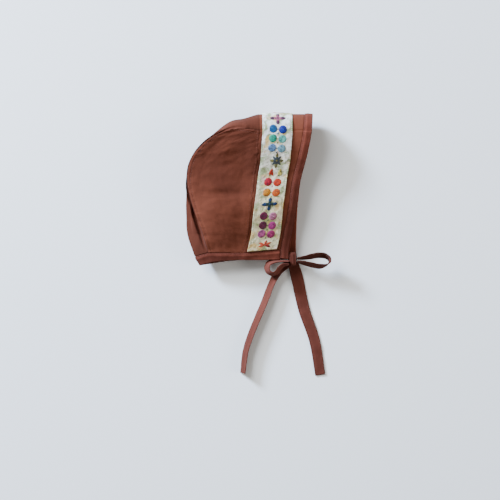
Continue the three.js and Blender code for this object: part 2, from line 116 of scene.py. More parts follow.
# Front edge, from its lower corner to the top
FRONT_NEAR = [
    (0.81, 0.003, 0.33), (0.811, 0.075, 0.35), (0.838, 0.204, 0.39), (0.868, 0.34, 0.46),
    (0.888, 0.463, 0.53), (0.908, 0.565, 0.6), (0.94, 0.667, 0.66), (0.962, 0.748, 0.71),
    (0.978, 0.816, 0.74), (0.989, 0.878, 0.76),
]
FRONT_FAR = [
    (0.866, 0.051, 0), (0.866, 0.08, 0), (0.87, 0.2, 0), (0.877, 0.33, 0), (0.89, 0.45, 0),
    (0.906, 0.562, 0), (0.938, 0.665, 0), (0.962, 0.748, 0), (0.978, 0.816, 0), (0.989, 0.878, 0),
]
FRONT_TOP_EDGE = (0.998, 0.986, 0.39)
# The brim rises a little towards its upper front corner
BRIM_CREST, CREST_FROM, CREST_TO = 1.4, (62, 138), (78, 154)
FRONT_SIDE_SHARE = 0.4
CASING_END_SHARE = 1 / 9
BAND_END_SPARE, RIBBON_END_SPARE, ALLOWANCE_END_SPARE = 0.0004, 0.0024, 0.002

# Spans of the neck casing: upper band, upper side, crown, lower side, lower band; and its heights
NECK_SPANS = (4, 7, 10, 7, 8)
NECK_FRONT, NECK_SEAM, NECK_BACK = 1.12, 0.78, 1.14

# Soft dents of the upper side panel: x, y, reach in x, reach in y, depth
DENTS = [
    (0.33, 0.455, 0.16, 0.022, 0.03), (0.39, 0.68, 0.09, 0.06, 0.035),
    (0.33, 0.57, 0.1, 0.05, -0.02), (0.2, 0.37, 0.08, 0.07, -0.025),
    (0.44, 0.3, 0.07, 0.07, 0.03),
]

# Where the upper side has sunk with all that is sewn on it: a spot of the photograph, reach, depth
SUNK = [(250, 174, 44, 24, 8.8), (252, 236, 30, 22, 1.6)]
# Heights between which a point passes from the lower to the upper layer
SUNK_HEIGHTS = (12, 26)
# Width along the edges of the upper side in which dents fade out
DENT_MARGIN = 15

# Bow: x, y, lean in degrees. Loops in shares of their reach, tails in shares of their drop, with a lift
LEFT_LOOP = [
    (-0.004, -0.05, 96), (-0.3, -0.045, 97), (-0.62, -0.05, 110), (-0.87, -0.15, 123),
    (-0.94, -0.34, 128), (-0.87, -0.52, 122), (-0.68, -0.6, 114), (-0.51, -0.51, 118),
    (-0.4, -0.35, 118), (-0.24, -0.22, 112), (-0.004, -0.19, 98),
]
RIGHT_LOOP = [
    (0.004, 0.045, 96), (0.2, 0.06, 112), (0.42, 0.1, 124), (0.64, 0.14, 129), (0.83, 0.12, 128),
    (0.95, 0.04, 117), (0.975, -0.06, 100), (0.9, -0.14, 80), (0.71, -0.185, 59),
    (0.45, -0.15, 54), (0.22, -0.09, 64), (0.004, -0.055, 82),
]
LEFT_TAIL = [
    (-0.012, 0.03, -24, 0.3), (-0.055, 0.004, -30, 0.18), (-0.103, -0.038, -36, 0.06),
    (-0.146, -0.092, -42, 0), (-0.18, -0.157, -47, 0), (-0.26, -0.36, -48, 0),
    (-0.367, -0.617, -48, 0), (-0.424, -0.79, -52, 0), (-0.452, -1, -55, 0),
]
RIGHT_TAIL = [
    (-0.006, 0.03, 0, 0.17), (0.016, -0.05, 0, 0.07), (0.036, -0.13, 0, 0),
    (0.092, -0.39, 0, 0), (0.192, -0.69, 0, 0), (0.243, -1, 0, 0),
]
LEFT_LOOP_REACH, RIGHT_LOOP_REACH, LOOP_LIFT = 25, 36, 12.8
LEFT_TAIL_DROP, RIGHT_TAIL_DROP = 114, 116

# How worn the cloth is, from 0 to 1, and how that changes with each millimetre of height: ridges are coloured
# paler as worn cloth, while hollows and sunk cloth are coloured darker, which is painted shade
EVEN_WEAR, WEAR_AND_SHADE_BY_HEIGHT = 0.4, 0.07

# Stitching: where its rows lie, and the thread
SIDE_HEM, BAND_HEM, CASING_HEM, NECK_HEM, RIBBON_HEM, TAPE_HEM = 3.6, 2.0, 1.5, 1.4, 1.3, 1.5
THREAD_WIDTH, THREAD_RISE = 0.36, 0.14
STITCHES_PER_BATCH = 24

UP = np.array([0.0, 0.0, 1.0])


def mix(a, b, share):
    return a + (b - a) * share


def smooth(x, low, high):
    share = np.clip((x - low) / (high - low), 0, 1)
    return share * share * (3 - 2 * share)


def column(values):
    return np.asarray(values, float)[..., None]


def unit(vectors):
    return vectors / np.maximum(np.linalg.norm(vectors, axis=-1, keepdims=True), 1e-9)


def value_of(values, share):
    return np.interp(np.asarray(share) * (len(values) - 1), range(len(values)), values)


def photo_place(px, py):
    """Where a pixel of the photograph lies on the bonnet's pattern."""
    return (px - PHOTO_ORIGIN[0]) * MM_PER_PIXEL, (PHOTO_ORIGIN[1] - py) * MM_PER_PIXEL


def fall_off(points, px, py, reach_x, reach_y):
    """A soft bell over a spot of the photograph: 1 in its middle, 0 far from it."""
    x, y = photo_place(px, py)
    dx, dy = (points[..., 0] - x) / (reach_x * MM_PER_PIXEL), (points[..., 1] - y) / (reach_y * MM_PER_PIXEL)
    return np.exp(-(dx**2) - dy**2)


class Line:
    """A smooth line through points in millimetres, drawn as the pattern draws it."""

    def __init__(self, points):
        p = np.asarray(points, float)
        self.knots = np.vstack([2 * p[0] - p[1], p, 2 * p[-1] - p[-2]])

    def at(self, share):
        spans = len(self.knots) - 3
        along = np.clip(np.asarray(share, float), 0, 1) * spans
        k = np.minimum(along.astype(int), spans - 1)
        t = column(along - k)
        p0, p1, p2, p3 = (self.knots[k + n] for n in range(4))
        d0, d1, d2 = (
            np.maximum(np.linalg.norm(b - a, axis=-1, keepdims=True), 1e-6) ** 0.5
            for a, b in ((p0, p1), (p1, p2), (p2, p3))
        )
        start = ((p1 - p0) / d0 - (p2 - p0) / (d0 + d1) + (p2 - p1) / d1) * d1
        end = ((p2 - p1) / d1 - (p3 - p1) / (d1 + d2) + (p3 - p2) / d2) * d1
        square = 3 * (p2 - p1) - 2 * start - end
        cube = 2 * (p1 - p2) + start + end
        return p1 + t * (start + t * (square + t * cube))

    def way(self, share):
        share = np.asarray(share, float)
        return unit(self.at(share + 1e-4) - self.at(share - 1e-4))


def pattern_line(rows):
    return Line(np.array(rows) * (BONNET_DEPTH, BONNET_HEIGHT, LYING_HEIGHT))


crown_near, crown_edge, crown_far = map(pattern_line, (CROWN_NEAR, CROWN_EDGE, CROWN_FAR))
seam_near, seam_far = map(pattern_line, (SEAM_NEAR, SEAM_FAR))
front_near, front_far = map(pattern_line, (FRONT_NEAR, FRONT_FAR))
front_top = np.array(FRONT_TOP_EDGE) * (BONNET_DEPTH, BONNET_HEIGHT, LYING_HEIGHT)


def roll(near, edge, far, way, out, tuck, rounding):
    """Cloth that rolls from the upper seam over the edge to the lower seam."""
    start = np.where(column(way <= 0.5), near, far)
    share = np.where(way <= 0.5, way * 2, (1 - way) * 2)
    across = column(mix(share, np.sin(share * math.pi / 2), rounding))
    along = mix(1 - share, np.cos(share * math.pi / 2), rounding)
    level = mix(start[:, :2], edge[:, :2], across)
    height = mix(edge[:, 2], start[:, 2], along)
    fold = np.clip((share - 1 / 3) * 1.5, 0, 1)
    depth = np.where(way <= 0.5, tuck * np.sin(fold * math.pi) ** 2, 0)
    return np.column_stack([level, height]) - out * column(depth)


def roll_outward(out, way):
    return out * column(np.sin(way * math.pi)) + UP * column(np.cos(way * math.pi))


def crown_panel(way, share):
    """way runs from the upper to the lower seam, share from the brim to the nape."""
    along = crown_edge.way(share)
    square = unit(np.column_stack([along[:, 1], -along[:, 0], np.zeros(len(share))]))
    out = unit(mix(np.array([0.0, 1.0, 0.0]), square, column(smooth(share, 0, 0.12))))
    points = roll(
        crown_near.at(share), crown_edge.at(share), crown_far.at(share), way, out,
        value_of(CROWN_TUCK, share) * LYING_HEIGHT, value_of(CROWN_ROUND, share),
    )
    return points, roll_outward(out, way)


def crown_surface(way, share):
    """The crown panel as it lies, sunk behind the rim of the upper side."""
    share = mix(0.0004, 0.9996, share)
    points, outward = crown_panel(way, share)
    turn = np.minimum(way * 2, 1)
    inward = crown_near.at(share) - crown_edge.at(share)
    sag = value_of(CROWN_SAG, share)
    points[:, 2] -= inward[:, 2] * sag * smooth(turn, 0.004, 0.07) * np.cos(turn * math.pi / 2)
    points[:, 2] -= CREVICE_DEPTH * sag * np.exp(-(((turn - 0.12) / 0.07) ** 2))
    points[:, 2] -= EDGE_TUCK * np.minimum(1, 3 * sag) * (1 - smooth(turn, 0.1, 0.3))
    inward[:, 2] = 0
    undercut = CREVICE_UNDERCUT * sag * (1 - smooth(turn, 0.08, 0.2))
    return points + unit(inward) * column(undercut), outward


def inside_seam(line, share):
    along = line.way(share)
    inward = unit(np.column_stack([-along[:, 1], along[:, 0], np.zeros(len(along))]))
    return line.at(share) + inward * SEAM_OPENING


def side_points(crown, seam, across, height):
    back = inside_seam(crown, mix(1, TURN_SHARE, height))
    points = mix(back, seam.at(height), column(across))
    whole = np.full(len(across), 1.0)
    top_row = mix(inside_seam(crown, whole * TURN_SHARE), seam.at(whole), column(across))
    top_seam = inside_seam(crown, TURN_SHARE * (1 - across))
    return points + (top_seam - top_row) * column(height**6)


def upper_side_panel(across, height):
    points = side_points(crown_near, seam_near, across, height)
    bow = 4 * across * (1 - across)
    px, py = points[:, 0] / BONNET_DEPTH, points[:, 1] / BONNET_HEIGHT
    dent = sum(
        depth * np.exp(-(((px - x) / dx) ** 2) - ((py - y) / dy) ** 2) for x, y, dx, dy, depth in DENTS
    )
    points[:, 2] += bow * (value_of(SEAM_RISE, height) - dent) * LYING_HEIGHT
    return points, np.tile(UP, (len(points), 1))


def lower_side_panel(across, height):
    return side_points(crown_far, seam_far, across, height), np.tile(-UP, (len(across), 1))


def inside_seams(panel):
    return lambda across, height: panel(across * 0.9988, mix(0.0006, 1, height))


def seam_share(share):
    return np.maximum(0, (share - CASING_END_SHARE) / (1 - CASING_END_SHARE))


def band_lines(way, start):
    """Rear and front line of the front band from its upper to its lower corner, over the top.

    Also their outward directions, and how much a point belongs to the lower side.
    """
    near_share = mix(start, 1, np.clip(way / FRONT_SIDE_SHARE, 0, 1))
    far_share = mix(start, 1, np.clip((1 - way) / FRONT_SIDE_SHARE, 0, 1))
    turn = np.clip((way - FRONT_SIDE_SHARE) / (1 - 2 * FRONT_SIDE_SHARE), 0, 1)
    whole = np.ones(len(way))
    out = np.tile([0.0, 1.0, 0.0], (len(way), 1))
    top_rear = roll(
        seam_near.at(whole), crown_edge.at(whole * 0), seam_far.at(whole), turn, out, 0 * whole, 1,
    )
    top_front = roll(
        front_near.at(whole), np.tile(front_top, (len(way), 1)), front_far.at(whole), turn, out, 0 * whole, 1,
    )
    on_near = column(way < FRONT_SIDE_SHARE)
    on_far = column(way > 1 - FRONT_SIDE_SHARE)
    rear = np.where(on_far, seam_far.at(seam_share(far_share)), top_rear)
    rear = np.where(on_near, seam_near.at(seam_share(near_share)), rear)
    front = np.where(on_far, front_far.at(far_share), top_front)
    front = np.where(on_near, front_near.at(near_share), front)
    return rear, front, roll_outward(out, turn), np.maximum(0, -np.cos(turn * math.pi))


def band_surface(distance, way, start=CASING_END_SHARE):
    """A point of the band at a distance from its rear seam, counted from the front edge if negative."""
    rear, front, outward, lower = band_lines(way, start)
    width = np.linalg.norm(front - rear, axis=1)
    distance = np.where(distance < 0, width + distance, distance)
    points = mix(rear, front, column(distance / width))
    points[:, 2] += lower * (RIBBON_WALL + SEAM_GAP) * smooth(distance, 0, RIBBON_INSET)
    return points, outward


class Cloth:
    """A piece of cloth laid over a grid of its surface, with an outer and an inner skin."""

    def __init__(self, surface, columns, rows, width, length, fine=1.2, lines=4):
        across = self.closer_at_ends(columns, width, fine, lines)
        along = self.closer_at_ends(rows, length, fine, lines)
        i, j = np.meshgrid(across, along)
        self.shape, self.share = i.shape, j
        points, outward = surface(i.ravel(), j.ravel())
        at_crest = [smooth(points[:, k], CREST_FROM[k], CREST_TO[k]) for k in (0, 1)]
        points[:, 1] += BRIM_CREST * at_crest[0] * at_crest[1]
        wear_and_shading = np.full(len(points), EVEN_WEAR)
        for *spot, depth in SUNK:
            sunk = depth * fall_off(points, *spot) * smooth(points[:, 2], *SUNK_HEIGHTS)
            points[:, 2] -= sunk
            # Painted shade: where the cloth has sunk it is also coloured darker
            wear_and_shading -= WEAR_AND_SHADE_BY_HEIGHT * sunk
        self.points = points.reshape(*i.shape, 3)
        self.outward = outward.reshape(*i.shape, 3)
        step_i, step_j = (np.gradient(self.points, axis=a) for a in (1, 0))
        self.normal = unit(np.cross(step_i, step_j))
        self.turned = np.sum(self.normal * self.outward) < 0
        if self.turned:
            self.normal = -self.normal
        self.across = self.lengths(1)
        self.along = self.lengths(0)
        self.width = self.across[:, -1:]
        self.length = self.along[-1:, :]
        self.left, self.right = self.across, self.width - self.across
        self.start, self.end = self.along, self.length - self.along
        self.edge = np.minimum(np.minimum(self.left, self.right), np.minimum(self.start, self.end))
        self.relief = np.zeros(self.shape)
        self.wear_and_painted_shading = wear_and_shading.reshape(i.shape)

    @staticmethod
    def closer_at_ends(steps, length, fine, lines):
        ends = min(fine / length, 0.4)
        return np.interp(range(steps + 1), [0, lines, steps - lines, steps], [0, ends, 1 - ends, 1])

    def lengths(self, axis):
        steps = np.linalg.norm(np.diff(self.points, axis=axis), axis=-1)
        total = np.cumsum(steps, axis=axis)
        pad = [(0, 0), (0, 0)]
        pad[axis] = (1, 0)
        return np.pad(total, pad)

    def soften(self, amount, size, seed, stretch=(1.0, 1.0)):
        """Low irregular swells, amount high and about size long."""
        u, v = self.across * stretch[0] / size, self.along * stretch[1] / size
        swell = [noise.noise(Vector((a, b, seed))) for a, b in zip(u.ravel(), v.ravel())]
        self.relief += amount * np.array(swell).reshape(self.shape)

    def hollow(self, px, py, reach_x, reach_y, depth):
        """A soft hollow under a spot of the photograph."""
        bell = fall_off(self.points, px, py, reach_x, reach_y)
        self.relief -= depth * bell * smooth(self.edge, 0, DENT_MARGIN)

    def crease(self, px, py, reach_x, reach_y, depth):
        """A folded line across the cloth, level in the photograph."""
        x, y = photo_place(px, py)
        dx = (self.points[..., 0] - x) / (reach_x * MM_PER_PIXEL)
        wander, bluntness = 1.2 * np.sin(dx * 2), 0.7
        dy = np.hypot((self.points[..., 1] - y - wander) / MM_PER_PIXEL, bluntness) / reach_y
        self.relief -= depth * np.exp(-(dx**2) - dy) * smooth(self.edge, 0, DENT_MARGIN)

    def distance_to(self, edge):
        """Distances to an edge by its name; those to another line come as they are."""
        named = {"left": self.left, "right": self.right, "start": self.start, "end": self.end}
        return named[edge] if isinstance(edge, str) else edge

    def pucker(self, edge, amount, size, seed, reach=4.5):
        """Small pulls of the cloth square to a seam."""
        distance = self.distance_to(edge)
        along = self.along if edge in ("left", "right") else self.across
        near = distance < reach * 2.5
        swell = np.zeros(self.shape)
        swell[near] = [
            noise.noise(Vector((a / size, d / 14, seed)))
            + 0.5 * noise.noise(Vector((a / size * 2.3, d / 8, seed + 7)))
            for a, d in zip(along[near], distance[near])
        ]
        self.relief += amount * swell * np.exp(-((distance / reach) ** 2))

    def groove(self, edge, at, depth, width=0.55):
        """The line that a row of stitches presses into the cloth, which is paler beside it."""
        distance = self.distance_to(edge)
        self.relief -= depth * np.exp(-(((distance - at) / width) ** 2))
        self.wear_and_painted_shading += 0.16 * np.exp(-(((distance - at - 1.3) / 0.7) ** 2))

    def ridge(self, edge, at, height, width):
        """A raised fold beside an edge."""
        self.relief += height * np.exp(-(((self.distance_to(edge) - at) / width) ** 2))

    def skins(self, outer, inner, rounding, both=False):
        """Rounds the edges of the outer skin, or of both, and puts the skins in place."""
        share = np.clip(self.edge / rounding, 0, 1)
        swell = np.sqrt(np.maximum(0, 1 - (1 - share) ** 2))
        # Ridges are coloured paler as worn cloth, and hollows and creases darker, which is painted shade
        self.wear_and_painted_shading += WEAR_AND_SHADE_BY_HEIGHT * self.relief
        middle, at_edge = (outer + inner) / 2, 0.1
        top = mix(max(inner + 0.25, outer - rounding), outer, swell)
        below = np.full(self.shape, inner)
        if both:
            top, below = mix(middle + at_edge, outer, swell), mix(middle - at_edge, inner, swell)
        lift = column(self.relief * swell) * self.normal
        self.outer = self.points + self.outward * column(top) + lift
        self.inner = self.points + self.outward * column(below) + lift
        return self

    def settle_on_floor(self, off_floor=0.0):
        """Keeps both skins above the surface under the bonnet, and apart where cloth lies over a gap."""
        self.outer[..., 2] = np.maximum(self.outer[..., 2], off_floor)
        self.inner[..., 2] = np.maximum(self.inner[..., 2], off_floor and off_floor + 0.45)
        return self

    def finish(self, name, material, *nodes):
        rows, columns = self.shape[0] - 1, self.shape[1] - 1
        bm = bmesh.new()
        bmesh.ops.create_grid(bm, x_segments=columns, y_segments=rows, size=0.5)
        spot = bm.verts.layers.int.new("spot")
        outer = in_frame(self.outer).reshape(-1, 3)
        inner = in_frame(self.inner).reshape(-1, 3)
        for vert in bm.verts:
            row, col = round((vert.co.y + 0.5) * rows), round((vert.co.x + 0.5) * columns)
            place = row * (columns + 1) + col
            vert[spot] = place
            vert.co = outer[place]
        if self.turned:
            bmesh.ops.reverse_faces(bm, faces=bm.faces[:])
        bmesh.ops.solidify(bm, geom=bm.faces[:], thickness=1.0)
        for vert in bm.verts:
            if np.abs(np.array(vert.co) - outer[vert[spot]]).max() > 0.2:
                vert.co = inner[vert[spot]]
        bmesh.ops.recalc_face_normals(bm, faces=bm.faces[:])
        if bm.calc_volume(signed=True) < 0:
            bmesh.ops.reverse_faces(bm, faces=bm.faces[:])
        mesh = mesh_of(name, bm)
        spots = np.zeros(len(mesh.vertices), np.int32)
        mesh.attributes["spot"].data.foreach_get("value", spots)
        mesh.attributes.remove(mesh.attributes["spot"])
        corners = np.zeros(len(mesh.loops), np.int32)
        mesh.loops.foreach_get("vertex_index", corners)
        flat = np.column_stack([self.across.ravel(), self.along.ravel()]) * MM
        layer = mesh.uv_layers.new(name="cloth")
        layer.uv.foreach_set("vector", flat[spots][corners].astype(np.float32).ravel())
        wear_and_shading = mesh.attributes.new("wear_and_painted_shading", "FLOAT", "POINT")
        wear_and_shading.data.foreach_set("value", np.clip(self.wear_and_painted_shading, 0, 1).ravel()[spots].astype(np.float32))
        self.piece = dress(name, mesh, material, *nodes)
        return self

    def line_beside(self, edge, distance_to_edge):
        """Points and outward directions of a line at a distance from one edge of the cloth."""
        distance, outer, normal = self.distance_to(edge), self.outer, self.normal
        if edge in ("start", "end"):
            distance, outer, normal = distance.T, outer.swapaxes(0, 1), normal.swapaxes(0, 1)
        order = slice(None) if edge in ("left", "start") else slice(None, None, -1)

        def read(values):
            return np.array([
                [np.interp(distance_to_edge, run[order], row[order, k]) for k in range(3)]
                for run, row in zip(distance, values)
            ])

        return read(outer), unit(read(normal))


def in_frame(points):
    return (np.asarray(points, float) - MIDDLE_UNDER_BONNET) * MM


def mesh_of(name, bm):
    mesh = bpy.data.meshes.new(name)
    bm.to_mesh(mesh)
    bm.free()
    return mesh


def dress(name, mesh, material, *nodes):
    """Turns a finished mesh into a piece that rides on the bonnet and stands for its solids."""
    mesh.materials.append(material)
    mesh.shade_smooth()
    mesh.set_sharp_from_angle(angle=math.radians(55))
    piece = bpy.data.objects.new(name, mesh)
    bpy.context.scene.collection.objects.link(piece)
    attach(piece, "root")
    if nodes:
        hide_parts(*nodes)
    return piece


# ---------------------------------------------------------------- finishes


class Reading:
    """One output of a material's node, on which sums are written as they are read."""

    def __init__(self, finish, socket):
        self.finish, self.socket = finish, socket

    def sum(self, operation, *readings):
        return self.finish.node("ShaderNodeMath", {"operation": operation}, dict(enumerate(readings)))

    def __add__(self, other):
        return self.sum("ADD", self, other)

    def __sub__(self, other):
        return self.sum("SUBTRACT", self, other)

    def __rsub__(self, other):
        return self.sum("SUBTRACT", other, self)

    def __mul__(self, other):
        return self.sum("MULTIPLY", self, other)

    def sine(self):
        return self.sum("SINE", self)

    def between(self, low, high, start=0.0, end=1.0):
        return self.finish.node(
            "ShaderNodeMapRange", {"clamp": True, "interpolation_type": "SMOOTHSTEP"},
            {"Value": self, "From Min": low, "From Max": high, "To Min": start, "To Max": end},
        )


class Finish:
    """A material in the making."""

    def __init__(self, name, **fixed):
        self.material = bpy.data.materials.new(name)
        self.material.use_nodes = True
        self.tree = self.material.node_tree
        self.shader = next(n for n in self.tree.nodes if n.type == "BSDF_PRINCIPLED")
        for socket, value in fixed.items():
            self.shader.inputs[socket.replace("_", " ")].default_value = value

    def node(self, kind, settings=None, inputs=None, output=0):
        node = self.tree.nodes.new(kind)
        for key, value in (settings or {}).items():
            setattr(node, key, value)
        for key, value in (inputs or {}).items():
            self.plug(node.inputs[key], value)
        return Reading(self, node.outputs[output])

    def plug(self, socket, value):
        if isinstance(value, Reading):
            self.tree.links.new(value.socket, socket)
        elif socket.type == "RGBA" and len(value) == 3:
            socket.default_value = (*value, 1.0)
        else:
            socket.default_value = value

    def set(self, **sockets):
        for socket, value in sockets.items():
            self.plug(self.shader.inputs[socket.replace("_", " ")], value)
        return self

    def blend(self, low, high, share):
        return self.node(
            "ShaderNodeMix", {"data_type": "RGBA", "clamp_factor": True}, {0: share, 6: low, 7: high}, output=2,
        )

    def flat_place(self, *scale):
        """The piece's own cloth coordinates, in metres times a scale."""
        place = self.node("ShaderNodeUVMap", {"uv_map": "cloth"})
        if not scale:
            return place
        return self.node("ShaderNodeMapping", {}, {"Vector": place, "Scale": (*scale, 1.0)})

    def mottle(self, place, scale, detail=3.0, rough=0.5, spread=0.0):
        return self.node("ShaderNodeTexNoise", {}, {
            "Vector": place, "Scale": scale, "Detail": detail, "Roughness": rough, "Distortion": spread,
        })

    def part(self, place, axis):
        """One coordinate of a place."""
        return self.node("ShaderNodeSeparateXYZ", {}, {0: place}, output=axis)

    def object_place(self):
        return self.node("ShaderNodeTexCoord", {}, {}, output=3)

    def bump(self, height, distance, strength=1.0, under=None):
        inputs = {"Height": height, "Distance": distance, "Strength": strength}
        if under is not None:
            inputs["Normal"] = under
        return self.node("ShaderNodeBump", {}, inputs)

    def weave(self, pitch):
        """Height of a plain weave with that thread pitch in millimetres."""
        turn = math.pi / (pitch * MM)
        across, along = (self.part(self.flat_place(), axis) * turn for axis in (0, 1))
        return across.sine() * along.sine() * 0.5 + 0.5


def dye(*shown):
    """A colour as a screen shows it, red, green and blue from 0 to 255, as light."""
    shares = [c / 255 for c in shown]
    return tuple(c / 12.92 if c <= 0.04045 else ((c + 0.055) / 1.055) ** 2.4 for c in shares)


def full_dye(*shown):
    """The same colour deeper and stronger, for shiny thread."""
    light = np.array(dye(*shown))
    grey, strength, depth = light.mean(), 1.25, 0.62
    return tuple(np.clip(grey + (light - grey) * strength, 0.004, 1) * depth)


def cotton(name, deep, light, pitch=0.36, fuzz=0.02):
    """Matte woven cotton: its threads, slubs, uneven dye and paler worn ridges, and the painted light and shade
    that the wear attribute also carries.
    """
    cloth = Finish(name, Sheen_Weight=fuzz, Sheen_Roughness=0.6, Specular_IOR_Level=0.06)
    weave = cloth.weave(pitch)
    warp = cloth.mottle(cloth.flat_place(2600, 90), 1.0, 2.0)
    weft = cloth.mottle(cloth.flat_place(90, 2600), 1.0, 2.0)
    clouds = cloth.mottle(cloth.object_place(), 26.0, 4.0, 0.55)
    fade = cloth.mottle(cloth.object_place(), 9.0, 2.0, 0.5)
    wear_and_shading = cloth.node("ShaderNodeAttribute", {"attribute_name": "wear_and_painted_shading"}, {}, output=2)
    tone = clouds * 0.45 + fade * 0.35 + warp * 0.14 + weft * 0.14 - 0.2 + wear_and_shading * 0.42
    colour = cloth.blend(deep, light, tone.between(0.28, 0.78))
    threads = warp * 0.5 + weft * 0.5
    fine = cloth.bump(weave * 0.6 + threads * 0.9, 0.00012, 0.55)
    soft = cloth.bump(clouds, 0.0012, 0.25, fine)
    return cloth.set(Base_Color=colour, Roughness=threads.between(0.2, 0.8, 0.9, 1.0), Normal=soft).material


def ribbon_ground():
    """Cream grosgrain with faint washes of green, straw and rose, painted light towards its top and painted
    shade in its crinkles and between its ribs.
    """
    ribbon = Finish("cream_ribbon", Sheen_Weight=0.12, Specular_IOR_Level=0.35)
    place = ribbon.flat_place()
    ribs = (ribbon.part(place, 1) * (math.pi * 2 / (RIB_PITCH * MM))).sine() * 0.5 + 0.5
    green = ribbon.mottle(ribbon.flat_place(1, 1), 95.0, 3.0, 0.6, 0.6)
    straw_place, rose_place = (
        ribbon.node("ShaderNodeMapping", {}, {"Vector": place, "Location": shift})
        for shift in ((0.3, 0.7, 0.0), (0.9, 0.2, 0.0))
    )
    straw = ribbon.mottle(straw_place, 70.0, 3.0, 0.6, 0.8)
    rose = ribbon.mottle(rose_place, 80.0, 2.0, 0.6, 0.4)
    # Painted light: the ground is paler and greyer towards the top of the bonnet as it lies, and more straw
    # below
    painted_light_towards_top = ribbon.part(ribbon.object_place(), 1).between(0.03, 0.12)
    ground = ribbon.blend(dye(208, 196, 156), dye(212, 210, 202), painted_light_towards_top)
    colour = ribbon.blend(ground, dye(108, 122, 64), green.between(0.44, 0.62) * 0.9)
    colour = ribbon.blend(colour, dye(196, 156, 78), straw.between(0.49, 0.66) * 0.85)
    colour = ribbon.blend(colour, dye(206, 158, 156), rose.between(0.58, 0.74) * 0.6)
    slub = ribbon.mottle(ribbon.flat_place(200, 2400), 1.0, 2.0)
    crinkle_and_painted_shade = ribbon.mottle(ribbon.flat_place(1, 1), 330.0, 3.0, 0.6)
    # Painted shade: darker grey-green where the crinkles are raised
    colour = ribbon.blend(colour, dye(104, 104, 80), crinkle_and_painted_shade.between(0.5, 0.72) * 0.65)
    # Slubs are greyer, and the troughs between the ribs a little darker, which is painted shade
    colour = ribbon.blend(colour, dye(188, 182, 158), slub.between(0.5, 0.9) * 0.35 + (1 - ribs) * 0.1)
    raised = ribbon.bump(ribs * 0.7 + slub * 0.4, 0.00016, 0.6, ribbon.bump(crinkle_and_painted_shade, 0.0012, 0.7))
    return ribbon.set(Base_Color=colour, Roughness=slub.between(0.2, 0.8, 0.5, 0.68), Normal=raised).material


def embroidery_thread():
    """Satin stitches, each patch in its own colour, with painted shade between the strands and a faint painted
    highlight on them.
    """
    thread = Finish("embroidery_thread", Sheen_Weight=0.02, Specular_IOR_Level=0.12)
    tint = thread.node("ShaderNodeAttribute", {"attribute_name": "tint"}, {})
    strands = thread.mottle(thread.flat_place(3200, 260), 1.0, 2.0, 0.6)
    shaded = thread.mottle(thread.object_place(), 520.0, 2.0, 0.6)
    tint = thread.blend(tint, (0.01, 0.012, 0.02), shaded.between(0.46, 0.66) * 0.62)
    # Painted shade and highlight: the strands alternate between a darkened and a faintly whitened tint
    dark = thread.blend(tint, (0.0, 0.0, 0.0), 0.55)
    bright = thread.blend(tint, (1.0, 1.0, 1.0), 0.02)
    raised = thread.bump(strands, 0.0003, 0.8)
    colour = thread.blend(dark, bright, strands.between(0.3, 0.7))
    gloss = strands.between(0.3, 0.7, 0.34, 0.55)
    return thread.set(Base_Color=colour, Roughness=gloss, Normal=raised).material


def sewing_thread(name, deep, light):
    thread = Finish(name, Sheen_Weight=0.1, Specular_IOR_Level=0.4)
    twist = thread.mottle(thread.object_place(), 2200.0, 2.0)
    return thread.set(
        Base_Color=thread.blend(deep, light, twist), Roughness=twist.between(0.2, 0.8, 0.5, 0.72),
        Normal=thread.bump(twist, 0.0001, 0.6),
    ).material


brown = cotton("rust_cotton", dye(75, 36, 24), dye(112, 60, 43))
# Painted shade: the crown panel gets a darker copy of the same rust cotton
crown_brown_painted_shade = cotton("rust_cotton_crown_painted_shade", dye(68, 32, 21), dye(99, 53, 39))
# Its pale end is raised so that painted light can lift the far casing
casing_brown_painted_light = cotton("rust_cotton_casings_painted_light", dye(71, 33, 24), dye(134, 70, 55), 0.34)
tape_brown = cotton("rust_cotton_ties", dye(68, 32, 24), dye(96, 50, 40), 0.3)
cream = ribbon_ground()
satin = embroidery_thread()
brown_thread = sewing_thread("rust_sewing_thread", dye(84, 36, 24), dye(116, 57, 40))
cream_thread = sewing_thread("cream_sewing_thread", dye(206, 200, 180), dye(236, 232, 216))

# ---------------------------------------------------------------- stitches

stitch_rows = {"rust": [], "cream": []}


def stitch(colour, line, pitch=2.4, length=1.7, skip=1.0):
    """Lays a row of stitches along a line of points with their outward directions."""
    points, normals = line
    run = np.concatenate([[0], np.cumsum(np.linalg.norm(np.diff(points, axis=0), axis=1))])
    for at in np.arange(skip, run[-1] - skip - length, pitch):
        here, there = (np.array([np.interp(d, run, points[:, k]) for k in range(3)]) for d in (at, at + length))
        outward = unit(np.array([np.interp(at + length / 2, run, normals[:, k]) for k in range(3)]))
        stitch_rows[colour].append(((here + there) / 2, unit(there - here), outward, length))


def gathered(name, parts):
    """One mesh out of many small ones, made a few dozen at a time."""
    whole = bmesh.new()
    for start in range(0, len(parts), STITCHES_PER_BATCH):
        few = bmesh.new()
        layers = few.verts.layers.float_color.new("tint"), few.loops.layers.uv.new("cloth")
        for part in parts[start : start + STITCHES_PER_BATCH]:
            part(few, *layers)
        mesh = mesh_of("few", few)
        whole.from_mesh(mesh)
        bpy.data.meshes.remove(mesh)
    bmesh.ops.recalc_face_normals(whole, faces=whole.faces[:])
    return mesh_of(name, whole)


